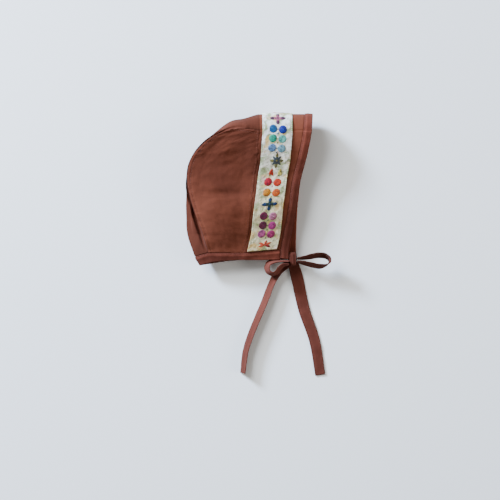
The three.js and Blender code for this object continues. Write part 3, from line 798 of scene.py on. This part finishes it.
def sew(name, rows, material):
    """Every stitch of one thread as a small rounded bead of thread on the cloth."""

    def bead(centre, along, outward, length):
        side = unit(np.cross(outward, along))
        outward = unit(np.cross(along, side))
        turn = Matrix([along, side, outward]).transposed().to_4x4()
        place = Matrix.Translation(in_frame(centre + outward * 0.03))
        size = Matrix.Diagonal((length / 2 * MM, THREAD_WIDTH / 2 * MM, THREAD_RISE * MM, 1.0))

        def make(bm, tint, layer):
            bmesh.ops.create_uvsphere(bm, u_segments=6, v_segments=4, radius=1.0, matrix=place @ turn @ size)

        return make

    return dress(name, gathered(name, [bead(*row) for row in rows]), material)


# ---------------------------------------------------------------- panels

# The last number of soften, and the fourth of pucker, is where in the noise their swells come from

upper_side = Cloth(inside_seams(upper_side_panel), 120, 190, 70, 130)
upper_side.hollow(228, 160, 34, 26, 3.0)
upper_side.hollow(248, 234, 24, 22, 0.5)
upper_side.crease(224, 197.5, 30, 9, 1.5)
upper_side.soften(0.8, 30, 3.1)
upper_side.soften(0.5, 13, 5.7, (0.6, 1.3))
upper_side.soften(0.22, 5, 6.3)
upper_side.pucker("left", 0.5, 5.5, 11.0)
upper_side.pucker("right", 0.4, 6.0, 12.0)
upper_side.pucker("end", 0.35, 5.5, 13.0)
upper_side.ridge("left", 1.6, 0.5, 1.8)
upper_side.ridge("end", 1.6, 0.4, 1.8)
upper_side.groove("left", SIDE_HEM, 0.06)
upper_side.groove("end", SIDE_HEM, 0.06)
upper_side.groove("right", BAND_HEM, 0.05)
# Painted shade: the upper side is coloured darker towards the crown and along its turned edge at the crown seam
upper_side.wear_and_painted_shading += mix(0.22, -0.38, smooth(upper_side.points[..., 1], 45, 125))
upper_side.wear_and_painted_shading -= 0.8 * np.exp(-((upper_side.left / 0.8) ** 2))
upper_side.skins(0, -CLOTH_WALL, 0.3).finish("side_panel_upper_cloth", brown, "side_panel_upper")

lower_side = Cloth(inside_seams(lower_side_panel), 70, 110, 70, 130)
lower_side.groove("left", SIDE_HEM, 0.12)
lower_side.groove("right", BAND_HEM, 0.1)
lower_side.skins(0, -CLOTH_WALL, 0.45).settle_on_floor()
lower_side.finish("side_panel_lower_cloth", brown, "side_panel_lower")

crown = Cloth(crown_surface, 84, 300, 45, 215)
crown.outward = crown.normal
crown.soften(0.8, 26, 21.0)
crown.soften(0.45, 11, 22.0, (1.4, 0.7))
crown.pucker("left", 0.55, 6.0, 23.0)
crown.pucker("right", 0.3, 6.0, 24.0)
# Painted shade: the crown panel is coloured darker all over
crown.wear_and_painted_shading -= 0.2
crown.skins(0, -CLOTH_WALL, 0.45).settle_on_floor().finish("crown_panel_cloth", crown_brown_painted_shade, "crown_panel")


def band_cloth_surface(i, j):
    way = mix(BAND_END_SPARE, 1 - BAND_END_SPARE, j)
    rear, front, _, _ = band_lines(way, CASING_END_SHARE)
    width = np.linalg.norm(front - rear, axis=1)
    end = width - FRONT_CASING_WIDTH - SEAM_OPENING
    return band_surface(mix(SEAM_OPENING, end, i), way)


def casing_surface(i, j):
    return band_surface(mix(-FRONT_CASING_WIDTH, -0.001, i), j, 0.0)


def ribbon_surface(i, j):
    return band_surface(RIBBON_INSET + i * RIBBON_WIDTH, mix(RIBBON_END_SPARE, 1 - RIBBON_END_SPARE, j))


band = Cloth(band_cloth_surface, 66, 330, 45, 300)
band.pucker("left", 0.3, 5.5, 31.0, 2.0)
band.pucker("right", 0.3, 6.0, 32.0)
casing = Cloth(casing_surface, 22, 340, 9.2, 310)
casing.soften(0.5, 8, 41.0, (0.7, 1.0))
casing.pucker("left", 0.35, 4.5, 42.0, 2.5)
casing.ridge("left", 3.6, 0.35, 2.4)
casing.groove("left", CASING_HEM, 0.12, 0.5)
# The crown seams go on across the band and its casing
for cloth in (band, casing):
    for share in (FRONT_SIDE_SHARE, 1 - FRONT_SIDE_SHARE):
        cloth.groove(np.abs(cloth.share - share) * cloth.length, 0, 0.5, 0.8)
band.skins(0, -CLOTH_WALL, 0.4).finish("front_band_cloth", brown, "front_band")

# Painted light and shade: the casing on the lower side, which lies in the bonnet's shade, is coloured paler,
# and the rest of it darker
casing.wear_and_painted_shading += mix(-0.4, 0.9, smooth(casing.share, 0.6, 0.72))
casing.skins(FRONT_CASING_RISE, FRONT_CASING_RISE - FRONT_CASING_WALL, 0.6, both=True).settle_on_floor()
casing.finish("front_casing_cloth", casing_brown_painted_light, "front_casing")


def brim_allowance_surface(i, j):
    """The turned-in edges under the seam behind the front band."""
    way = mix(ALLOWANCE_END_SPARE, 1 - ALLOWANCE_END_SPARE, j)
    rear, front, outward, _ = band_lines(way, CASING_END_SHARE)
    under = outward * (CLOTH_WALL + ALLOWANCE_GAP)
    return rear + unit(front - rear) * column(mix(-3.0, 2.6, i)) - under, outward


allowance = Cloth(brim_allowance_surface, 8, 160, 5.6, 300)
allowance.skins(0, -0.5, 0.3)
allowance.outer[..., 2] = np.maximum(allowance.outer[..., 2], CLOTH_WALL + ALLOWANCE_GAP)
allowance.inner[..., 2] = np.maximum(allowance.inner[..., 2], CLOTH_WALL + ALLOWANCE_GAP + 0.3)
allowance.finish("brim_seam_allowance", brown)

ribbon = Cloth(ribbon_surface, 60, 330, 31.75, 290, 1.2, 3)
ribbon.soften(0.4, 16, 51.0)
ribbon.soften(0.45, 6, 54.0)
ribbon.pucker("left", 0.18, 4.0, 52.0, 2.5)
ribbon.pucker("right", 0.18, 4.0, 53.0, 2.5)
ribbon.groove("left", RIBBON_HEM, 0.2, 0.4)
ribbon.groove("right", RIBBON_HEM, 0.2, 0.4)
ribbon.skins(SEAM_GAP + RIBBON_WALL, SEAM_GAP, 0.6).settle_on_floor(0.45)
ribbon.finish("trim_ribbon_weave", cream, "trim_ribbon")

stitch("rust", upper_side.line_beside("left", SIDE_HEM))
stitch("rust", upper_side.line_beside("right", BAND_HEM))
stitch("rust", upper_side.line_beside("end", SIDE_HEM))
stitch("rust", lower_side.line_beside("left", SIDE_HEM))
stitch("rust", casing.line_beside("left", CASING_HEM))
stitch("cream", ribbon.line_beside("left", RIBBON_HEM), 2.2, 1.5)
stitch("cream", ribbon.line_beside("right", RIBBON_HEM), 2.2, 1.5)

# ---------------------------------------------------------------- neck casing


def neck_surface(i, j):
    """The folded casing along the neck edge, from one front corner round the nape to the other."""
    starts = np.cumsum((0, *NECK_SPANS))
    spot = i * starts[-1]
    part = [np.clip(spot - start, 0, span) / span for start, span in zip(starts, NECK_SPANS)]
    whole = np.ones(len(i))

    def band_point(way, share):
        rear, front, _, _ = band_lines(whole * way, CASING_END_SHARE)
        end = np.linalg.norm(front - rear, axis=1) - FRONT_CASING_WIDTH - SEAM_GAP
        return band_surface(end * share, whole * way)

    edges = (
        band_point(0, 1 - part[0]), upper_side_panel(1 - part[1], whole * 0), crown_panel(part[2], whole),
        lower_side_panel(part[3], whole * 0), band_point(1, part[4]),
    )
    which = np.digitize(spot, starts[1:-1])
    points, outward = (np.choose(which[:, None], [edge[k] for edge in edges]) for k in (0, 1))
    heights = np.choose(which, [
        mix(NECK_SEAM, NECK_FRONT, 1 - part[0]), mix(NECK_SEAM, NECK_BACK, part[1] ** 2), NECK_BACK * whole,
        mix(NECK_SEAM, NECK_BACK, (1 - part[3]) ** 2), mix(NECK_SEAM, NECK_FRONT, part[4]),
    ]) * NECK_CASING_HEIGHT
    lean = 0.5 * np.exp(-(((points[:, 0] - crown_edge.at(1.0)[0]) / 32) ** 2))
    fall = 0.14 * np.minimum(1, points[:, 2] / (LYING_HEIGHT * 0.33))
    drop = unit(np.column_stack([lean, -whole, -fall]))
    return points + drop * column(mix(SEAM_OPENING, heights, j)), outward


neck = Cloth(neck_surface, 300, 20, 260, 10)
neck.pucker("start", 0.45, 5.5, 61.0, 3.0)
neck.soften(0.45, 9, 62.0)
neck.ridge("start", 3.2, 0.55, 2.6)
neck.groove("start", NECK_HEM, 0.12, 0.5)
# Painted shade: the neck casing is coloured darker all over
neck.wear_and_painted_shading -= 0.2
neck.skins(0, -NECK_CASING_WALL, 0.6, both=True).settle_on_floor()
neck.finish("neck_casing_cloth", casing_brown_painted_light, "neck_casing")
stitch("rust", neck.line_beside("start", NECK_HEM))

# ---------------------------------------------------------------- ties and bow

upper_corner, lower_corner = front_near.at(0.0), front_far.at(0.0)
knot_centre = np.array([
    upper_corner[0] + FRONT_CASING_RISE + SEAM_GAP + KNOT_WIDTH / 2,
    upper_corner[1] - 0.03 * KNOT_LENGTH,
    KNOT_LIFT + KNOT_HEIGHT / 2,
])


def resting_height(lean, width=TAPE_WIDTH):
    lean = np.radians(lean)
    return width / 2 * np.abs(np.sin(lean)) + TAPE_THICKNESS / 2 * np.abs(np.cos(lean))


def tape_surface(points, leans, widths):
    path = Line(points)

    def surface(side, along):
        way = path.way(along)
        way[:, 2] = 0
        way = unit(way)
        lean_degrees = value_of(leans, along)
        lean = np.radians(lean_degrees)
        width = value_of(widths, along)
        level = np.column_stack([way[:, 1], -way[:, 0], np.zeros(len(along))])
        across = level * column(np.cos(lean)) + UP * column(np.sin(lean))
        middle = path.at(along)
        middle[:, 2] = np.maximum(middle[:, 2], resting_height(lean_degrees, width))
        return middle + across * column((side - 0.5) * width), unit(np.cross(across, way))

    return surface


def tie_tape(node, rows, points, length, seed, widths=(TAPE_WIDTH,), wear_and_painted_shading=0.0):
    """A folded tape, stitched along both edges."""
    surface = tape_surface(points, [row[2] for row in rows], widths)
    tape = Cloth(surface, 16, int(length / TAPE_ROW), TAPE_WIDTH, length, 1.2, 3)
    tape.soften(0.5, 9, seed)
    tape.wear_and_painted_shading += wear_and_painted_shading
    tape.groove("left", TAPE_HEM, 0.22, 0.4)
    tape.groove("right", TAPE_HEM, 0.22, 0.4)
    tape.skins(TAPE_SKIN, -TAPE_SKIN, 0.5, both=True).settle_on_floor()
    tape.finish(node + "_tape", tape_brown, node)
    for _ in ("outer side", "inner side"):
        for edge in ("left", "right"):
            stitch("rust", tape.line_beside(edge, TAPE_HEM), 2.2, 1.5)
        tape.outer, tape.inner, tape.normal = tape.inner, tape.outer, -tape.normal


def loop_points(rows, reach, side):
    start = knot_centre[0] + side * (KNOT_WIDTH / 2 + SEAM_GAP)
    return [(start + x * reach, knot_centre[1] + y * reach, LOOP_LIFT) for x, y, _ in rows]


def tail_points(rows, drop, start):
    return [
        (
            knot_centre[0] + start * KNOT_WIDTH + x * drop,
            knot_centre[1] - KNOT_LENGTH / 2 - SEAM_GAP + y * drop,
            resting_height(lean, LEFT_TAIL_WIDTHS[2]) + lift * KNOT_HEIGHT,
        )
        for x, y, lean, lift in rows
    ]


left_loop = loop_points(LEFT_LOOP, LEFT_LOOP_REACH, -1)
right_loop = loop_points(RIGHT_LOOP, RIGHT_LOOP_REACH, 1)
left_tail = tail_points(LEFT_TAIL, LEFT_TAIL_DROP, -0.25)
right_tail = tail_points(RIGHT_TAIL, RIGHT_TAIL_DROP, 0.15)
tie_tape("bow_loop_left", LEFT_LOOP, left_loop, 62, 71.0)
# Painted shade: the right loop is coloured darker, where the bonnet's shadow falls on it; the right tail is a
# little darker
tie_tape("bow_loop_right", RIGHT_LOOP, right_loop, 80, 72.0, wear_and_painted_shading=-0.4)
tie_tape("bow_tail_left", LEFT_TAIL, left_tail, 128, 73.0, LEFT_TAIL_WIDTHS)
tie_tape("bow_tail_right", RIGHT_TAIL, right_tail, 122, 74.0, RIGHT_TAIL_WIDTHS, -0.05)


def lead_surface(side, along):
    """The lower tie, from its casing into the knot."""
    low = TAPE_THICKNESS / 2
    start = np.array([lower_corner[0] - FRONT_CASING_WIDTH / 2, lower_corner[1] - SEAM_GAP, low + 0.5])
    end = np.array([knot_centre[0], knot_centre[1], low + 1.6])
    points = mix(start, end, column(along))
    points[:, 0] += (side - 0.5) * (TAPE_WIDTH - 2 * SEAM_GAP)
    return points, np.tile(UP, (len(points), 1))


lead = Cloth(lead_surface, 16, 12, TAPE_WIDTH - 0.6, 8, 1.2, 3)
lead.skins(TAPE_THICKNESS / 2, -TAPE_THICKNESS / 2, 0.8, both=True)
lead.finish("tie_lower_tape", tape_brown, "tie_lower")


def tied_knot():
    """The knot: a wrap of the same tape, pinched into folds across its ends."""
    bm = bmesh.new()
    upright = Matrix.Rotation(math.pi / 2, 4, "X")
    bmesh.ops.create_uvsphere(bm, u_segments=72, v_segments=48, radius=1.0, matrix=upright)
    layer = bm.loops.layers.uv.new("cloth")
    places = {}
    for vert in bm.verts:
        x, y, z = vert.co
        square = [math.copysign(abs(c) ** power, c) for c, power in ((x, 0.5), (y, 0.5), (z, 0.45))]
        around = math.atan2(z, x)
        folds = 0.3 * math.cos(square[0] * 7.2 + 0.7 * y) + 0.14 * math.cos(square[0] * 15 - 1.5 * y + 1.0)
        waist = 1 - 0.07 * (1 - square[1] ** 2)
        places[vert] = (around * 5 * MM, y * 6 * MM)
        vert.co = Vector(in_frame(knot_centre + np.array([
            square[0] * waist * (KNOT_WIDTH / 2 + 0.4),
            square[1] * (KNOT_LENGTH / 2 + 0.9) + 0.9,
            square[2] * (KNOT_HEIGHT / 2 + folds - 1.0),
        ])))
    for face in bm.faces:
        for corner in face.loops:
            corner[layer].uv = places[corner.vert]
    bmesh.ops.recalc_face_normals(bm, faces=bm.faces[:])
    # Painted shade: the knot carries no wear attribute, so its cloth takes a deeper tone
    dress("bow_knot_wrap", mesh_of("bow_knot_wrap", bm), tape_brown, "bow_knot")


tied_knot()

# ---------------------------------------------------------------- embroidery

MAUVE, AUBERGINE, SEA, ROYAL = (184, 112, 132), (92, 50, 74), (34, 104, 158), (34, 62, 160)
JADE, MINT, PERIWINKLE, SKY = (66, 172, 142), (128, 200, 186), (132, 164, 206), (150, 192, 206)
SLATE, OLIVE, VERMILION, STRAW = (84, 92, 96), (140, 132, 84), (206, 78, 48), (218, 202, 124)
CRIMSON, CORAL, OCHRE, ORANGE = (196, 30, 72), (220, 88, 72), (222, 146, 56), (230, 116, 46)
NAVY, BOTTLE, PLUM, PINK = (34, 68, 112), (44, 66, 58), (132, 52, 86), (222, 150, 176)
DAMSON, MAGENTA, ROSE, FUCHSIA = (106, 42, 64), (192, 88, 144), (192, 106, 146), (184, 78, 124)
BRICK, SALMON, LEAF, LEMON = (150, 44, 40), (224, 110, 88), (112, 142, 92), (214, 208, 122)

# Rows of the ribbon's pattern: pixel row of the photograph, what is sewn there and its threads
PATTERN = [
    (118.9, "flower", (MAUVE, AUBERGINE)),
    (129.9, "dots", (SEA, ROYAL, SEA)),
    (139.3, "dots", (JADE, MINT, LEMON)),
    (148.8, "dots", (PERIWINKLE, SKY, SLATE)),
    (161.1, "star", (SLATE, OLIVE)),
    (172.8, "buds", (VERMILION, STRAW, LEAF)),
    (182.4, "dots", (CRIMSON, CORAL, PINK)),
    (192.8, "dots", (OCHRE, ORANGE, LEMON)),
    (204.4, "flower", (BOTTLE, NAVY)),
    (216.2, "dots", (PLUM, PINK, LEAF)),
    (225.6, "dots", (DAMSON, MAGENTA, LEAF)),
    (234.1, "dots", (ROSE, FUCHSIA, LEAF)),
    (245.0, "sprig", (SALMON, BRICK)),
]
ROW_SPACE, END_MARGIN = 11.5, 6

ribbon_middle = ribbon.outer[:, ribbon.shape[1] // 2]
ribbon_run = ribbon.along[:, ribbon.shape[1] // 2]


def run_at_height(y):
    """How far along the ribbon its upper side reaches a height over the neck edge."""
    rising = np.argmax(ribbon_middle[:, 1])
    return float(np.interp(y, ribbon_middle[:rising, 1], ribbon_run[:rising]))


def on_ribbon(across, along, height):
    """Where a point of the embroidery lies, from its place on the flat ribbon."""
    row = np.interp(along, ribbon_run, np.arange(len(ribbon_run)))
    low = min(int(row), len(ribbon_run) - 2)
    before, after = (
        np.array([
            np.interp(across, ribbon.across[k], values[k, :, axis])
            for values in (ribbon.outer, ribbon.normal) for axis in range(3)
        ])
        for k in (low, low + 1)
    )
    both = mix(before, after, row - low)
    place = both[:3] + unit(both[3:]) * height
    place[2] = max(place[2], 0.02)
    return place


patches = []


def patch(across, along, long_radius, wide_radius, turn, colour, height=0.38):
    """One patch of satin stitches: an oval, its stitches across its length."""
    patches.append((across, along, long_radius, wide_radius, turn, colour, height))


def flower(across, along, heart, tips, reach_across=8.3, reach_along=6.9, thick=1.95):
    """Four long petals, each of a lighter and a darker part."""
    for quarter in range(4):
        angle = quarter * math.pi / 2
        reach = reach_across if quarter % 2 else reach_along
        for share, part, width, colour in ((0.36, 0.36, 0.95, heart), (0.64, 0.38, 1.0, tips)):
            place = across + math.sin(angle) * reach * share, along + math.cos(angle) * reach * share
            patch(*place, reach * part, thick * width, angle, colour, 0.38 + 0.06 * share)
    patch(across, along, 1.2, 1.2, 0, tips, 0.5)


def dots(along, left, right, joining):
    """A pair of round dots with a paler fleck each, a painted highlight, joined by small stitches."""
    for place, rise, colour in ((11.35, 0.4, left), (21.4, -0.4, right)):
        patch(place, along + rise, 4.3, 4.3, 0.2, colour, 0.5)
        # Painted highlight: a paler fleck on each dot
        dot_painted_highlight = tuple(min(255, int(c * 1.12 + 12)) for c in colour)
        patch(place + 0.6, along + rise - 0.3, 1.3, 0.9, 0.9, dot_painted_highlight, 0.6)
    patch(16.4, along, 1.3, 0.6, 1.4, joining, 0.3)
    patch(16.3, along - 4.4, 1.2, 0.7, 0.6, joining, 0.3)


def motif(kind, along, threads):
    if kind == "dots":
        dots(along, *threads)
    elif kind == "flower":
        flower(16.2, along, *threads)
    elif kind == "star":
        flower(17.0, along, *threads, 7.2, 8.4, 1.5)
        for quarter in range(4):
            angle = math.pi / 4 + quarter * math.pi / 2
            patch(17.0 + math.sin(angle) * 3.4, along + math.cos(angle) * 3.6, 3.0, 1.25, angle, threads[0])
    elif kind == "buds":
        for across, colour in ((12.9, threads[0]), (22.0, threads[1])):
            patch(across, along + 0.6, 4.0, 1.7, 0.25, colour, 0.42)
            patch(across + 1.4, along - 0.8, 3.0, 1.4, -0.35, colour, 0.36)
            patch(across - 0.6, along - 3.2, 1.2, 0.6, 0.9, threads[2], 0.3)
    else:
        light, dark = threads
        for turn, reach, colour in (
            (1.2, 3.6, light), (1.9, 3.8, dark), (-1.2, 3.8, light), (-1.8, 3.0, light), (0.2, 2.2, light),
        ):
            patch(17.0 + math.sin(turn) * reach, along + math.cos(turn) * reach, 3.3, 1.35, turn, colour)


visible = [(run_at_height(photo_place(0, py)[1]), kind, threads) for py, kind, threads in PATTERN]
top_run, first_run = visible[0][0], visible[-1][0]
# The ribbon goes on over the top and down the lower side with the same rows, then with the rows turned round
onward = top_run - first_run + ROW_SPACE
for rows, shift in ((visible, 0), (visible, onward), (visible[-2::-1], 2 * onward - ROW_SPACE + 0.5)):
    for along, kind, threads in rows:
        if along + shift < ribbon_run[-1] - END_MARGIN:
            motif(kind, along + shift, threads)


def embroider(name):
    def satin_patch(across, along, long_radius, wide_radius, turn, colour, height):
        def make(bm, tint, layer):
            around = 24 if wide_radius > 2 else 14
            made = bmesh.ops.create_uvsphere(bm, u_segments=around, v_segments=8, radius=1.0)["verts"]
            shade = (*full_dye(*colour), 1.0)
            flat = {}
            for vert in made:
                x, y, z = vert.co
                edge = 1 + 0.03 * math.sin(math.atan2(y, x) * 9)
                pointed = 1 - 0.7 * y * y * (1 - wide_radius / long_radius)
                local = (x * wide_radius * edge * pointed, y * long_radius * edge)
                u = across + local[0] * math.cos(turn) + local[1] * math.sin(turn)
                v = along - local[0] * math.sin(turn) + local[1] * math.cos(turn)
                rise = height * (abs(z) ** 0.6) if z > 0 else -0.08 * abs(z)
                vert.co = Vector(in_frame(on_ribbon(u, v, rise)))
                vert[tint] = shade
                flat[vert] = (local[1] * MM, local[0] * MM)
            for face in {f for vert in made for f in vert.link_faces}:
                for corner in face.loops:
                    corner[layer].uv = flat[corner.vert]

        return make

    return dress(name, gathered(name, [satin_patch(*p) for p in patches]), satin)


embroidery = embroider("ribbon_embroidery")
seam_stitches = sew("seam_stitches", stitch_rows["rust"], brown_thread)
ribbon_stitches = sew("ribbon_stitches", stitch_rows["cream"], cream_thread)

# ---------------------------------------------------------------- floor, light and camera

# In metres
LAMP_DISTANCE, CAMERA_HEIGHT, BONNET_MIDDLE_HEIGHT = 2.6, 2.6, 0.012
PHOTO_WIDTH, PHOTO_MIDDLE = 0.5315, (-0.0093, -0.0051)
FLOOR_HALF_SIDE, FLOOR_LEVEL = 3.0, -0.0002


def floor():
    paper = Finish("pale_floor", Specular_IOR_Level=0.2)
    cloud = paper.mottle(paper.object_place(), 3.0, 3.0)
    grain = paper.mottle(paper.object_place(), 900.0, 2.0)
    paper.set(
        Base_Color=paper.blend(dye(241, 242, 244), dye(245, 246, 247), cloud),
        Roughness=cloud.between(0.2, 0.8, 0.7, 0.8), Normal=paper.bump(grain, 0.0001, 0.3),
    )
    bm = bmesh.new()
    bmesh.ops.create_grid(bm, x_segments=8, y_segments=8, size=FLOOR_HALF_SIDE)
    mesh = mesh_of("floor", bm)
    mesh.materials.append(paper.material)
    plane = bpy.data.objects.new("floor", mesh)
    plane.location = (0, 0, FLOOR_LEVEL)
    bpy.context.scene.collection.objects.link(plane)


def soft_lamp(name, bearing, rise, size, energy, colour):
    """A soft lamp on a bearing over the floor, raised by an angle in degrees."""
    lamp = bpy.data.lights.new(name, "AREA")
    lamp.shape, lamp.energy, lamp.color = "RECTANGLE", energy, colour
    lamp.size, lamp.size_y = size
    holder = bpy.data.objects.new(name, lamp)
    toward = Vector((*bearing, math.tan(math.radians(rise)))).normalized()
    holder.location = toward * LAMP_DISTANCE
    holder.rotation_euler = toward.to_track_quat("Z", "Y").to_euler()
    bpy.context.scene.collection.objects.link(holder)


def studio_light():
    soft_lamp("low_window", (-0.76, 0.65), 19, (0.6, 0.42), 315, (0.6, 0.75, 1.0))
    soft_lamp("high_window", (-0.7, 0.7), 37, (1.4, 1.1), 99, (0.9, 0.96, 1.0))
    soft_lamp("fill_card", (0.96, -0.2), 22, (1.6, 0.7), 34, (1.0, 0.95, 0.88))
    world = bpy.data.worlds.new("room")
    world.use_nodes = True
    background = world.node_tree.nodes["Background"]
    background.inputs["Color"].default_value = (1.0, 0.97, 0.9, 1.0)
    background.inputs["Strength"].default_value = 0.29
    bpy.context.scene.world = world


def camera_above():
    """Straight down, with the photograph's frame laid on the bonnet."""
    lens = bpy.data.cameras.new("camera")
    lens.sensor_width = 36.0
    lens.lens = lens.sensor_width * (CAMERA_HEIGHT - BONNET_MIDDLE_HEIGHT) / PHOTO_WIDTH
    camera = bpy.data.objects.new("camera", lens)
    camera.location = (*PHOTO_MIDDLE, CAMERA_HEIGHT)
    bpy.context.scene.collection.objects.link(camera)
    bpy.context.scene.camera = camera


floor()
studio_light()
camera_above()
